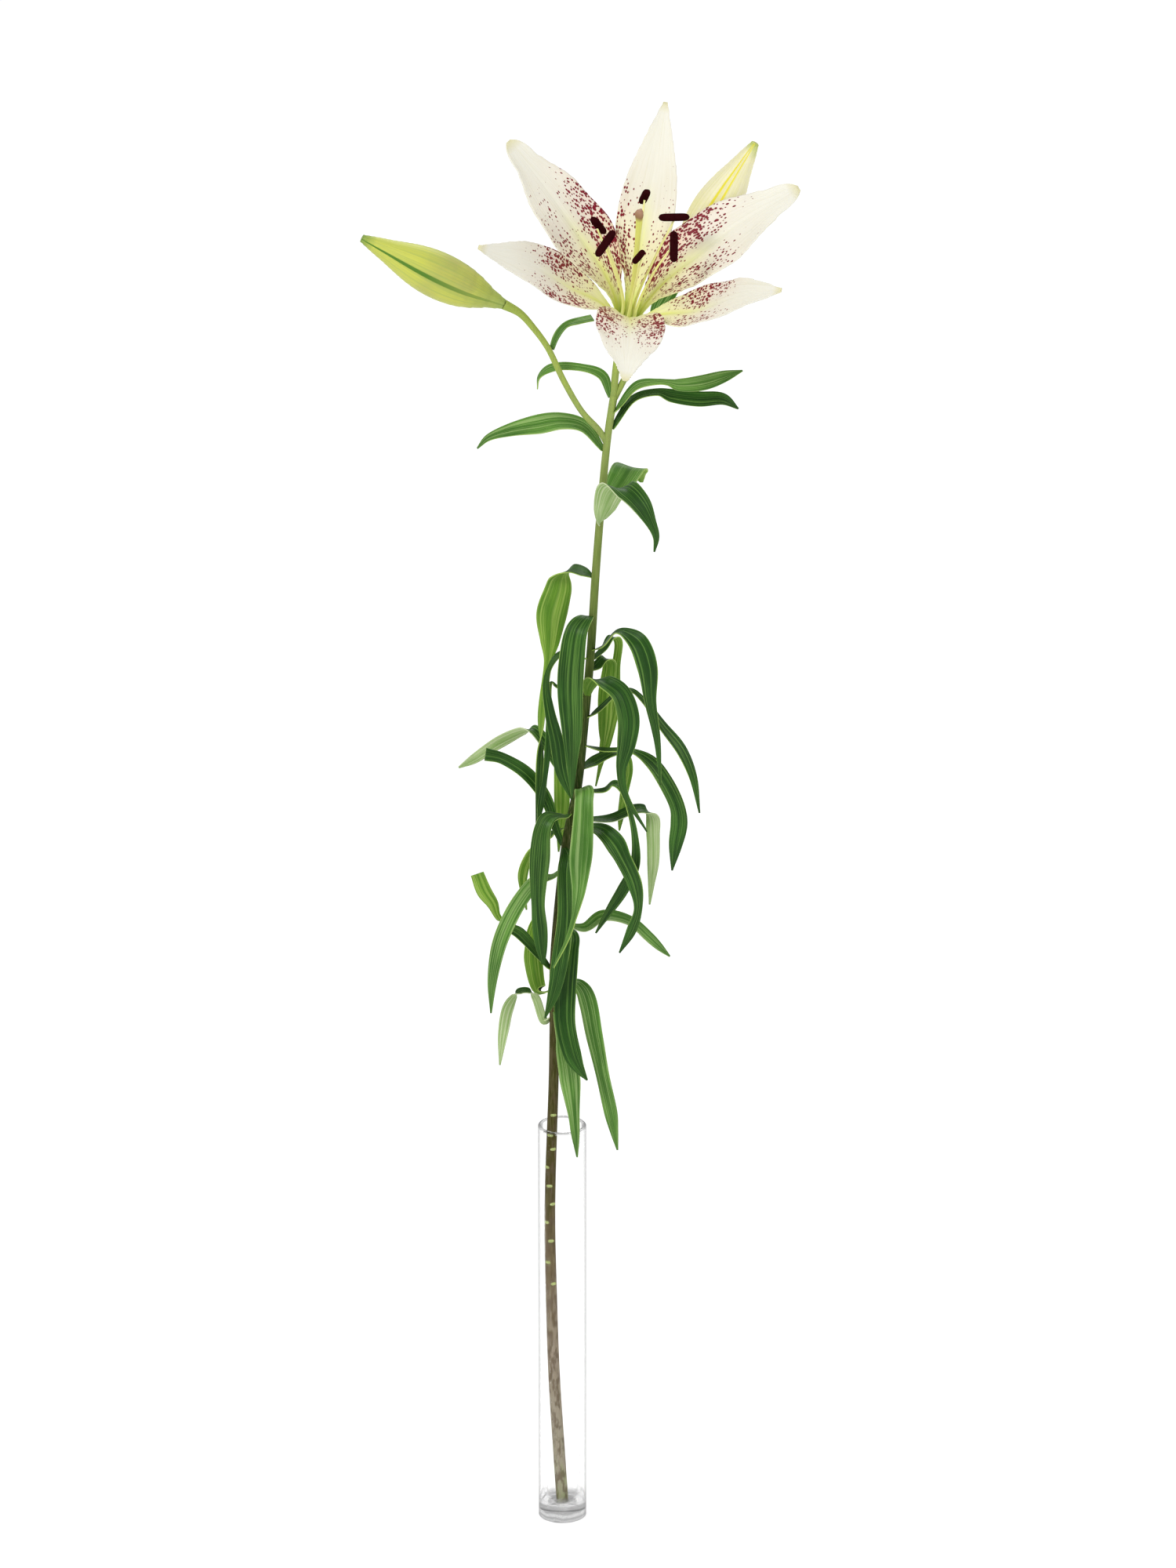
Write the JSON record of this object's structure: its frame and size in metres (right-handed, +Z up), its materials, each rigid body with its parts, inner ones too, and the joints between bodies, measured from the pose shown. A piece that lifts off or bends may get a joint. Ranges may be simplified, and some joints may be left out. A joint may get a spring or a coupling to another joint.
{
  "type": "lily in a glass cylinder vase",
  "caption": "A cut lily stem with one open spotted bloom, buds and arching leaves, standing in a tall narrow clear glass cylinder vase.",
  "frame": {"origin": "centre of the vase's foot on the surface it stands on", "axes": "+Z up along the vase; the open bloom faces -Y and up"},
  "size_m": [0.254, 0.1666, 0.8772],
  "materials": {
    "glass": "clear, polished",
    "stem_green": "matte plant tissue, brownish low down",
    "leaf_green": "satin leaf",
    "tepal_cream": "soft matte petal with burgundy spots",
    "bud_green": "satin bud",
    "bud_cream": "satin bud",
    "filament_yellow": "satin",
    "anther_brown": "powdery",
    "pistil_green": "satin"
  },
  "bodies": {
    "root": {"vase": "glass", "stem": "stem_green", "bud_left": "bud_green", "bud_right": "bud_cream", "tepal_inner_right": "tepal_cream", "tepal_outer_top": "tepal_cream", "tepal_inner_left": "tepal_cream", "tepal_outer_left": "tepal_cream", "tepal_inner_front": "tepal_cream", "tepal_outer_right": "tepal_cream", "filament_1": "filament_yellow", "filament_2": "filament_yellow", "filament_3": "filament_yellow", "filament_4": "filament_yellow", "filament_5": "filament_yellow", "filament_6": "filament_yellow", "anther_1": "anther_brown", "anther_2": "anther_brown", "anther_3": "anther_brown", "anther_4": "anther_brown", "anther_5": "anther_brown", "anther_6": "anther_brown", "pistil": "pistil_green", "leaf_01": "leaf_green", "leaf_02": "leaf_green", "leaf_03": "leaf_green", "leaf_04": "leaf_green", "leaf_05": "leaf_green", "leaf_06": "leaf_green", "leaf_07": "leaf_green", "leaf_08": "leaf_green", "leaf_09": "leaf_green", "leaf_10": "leaf_green", "leaf_11": "leaf_green", "leaf_12": "leaf_green", "leaf_13": "leaf_green", "leaf_14": "leaf_green", "leaf_15": "leaf_green", "leaf_16": "leaf_green", "leaf_17": "leaf_green", "leaf_18": "leaf_green", "leaf_19": "leaf_green", "leaf_20": "leaf_green", "leaf_21": "leaf_green", "leaf_22": "leaf_green", "leaf_23": "leaf_green", "leaf_24": "leaf_green", "leaf_25": "leaf_green", "leaf_26": "leaf_green", "leaf_27": "leaf_green", "leaf_28": "leaf_green", "leaf_29": "leaf_green", "leaf_30": "leaf_green", "leaf_31": "leaf_green", "leaf_32": "leaf_green", "leaf_33": "leaf_green", "leaf_34": "leaf_green", "leaf_35": "leaf_green", "bract_left": "leaf_green", "bract_right": "leaf_green"}
  },
  "joints": []
}
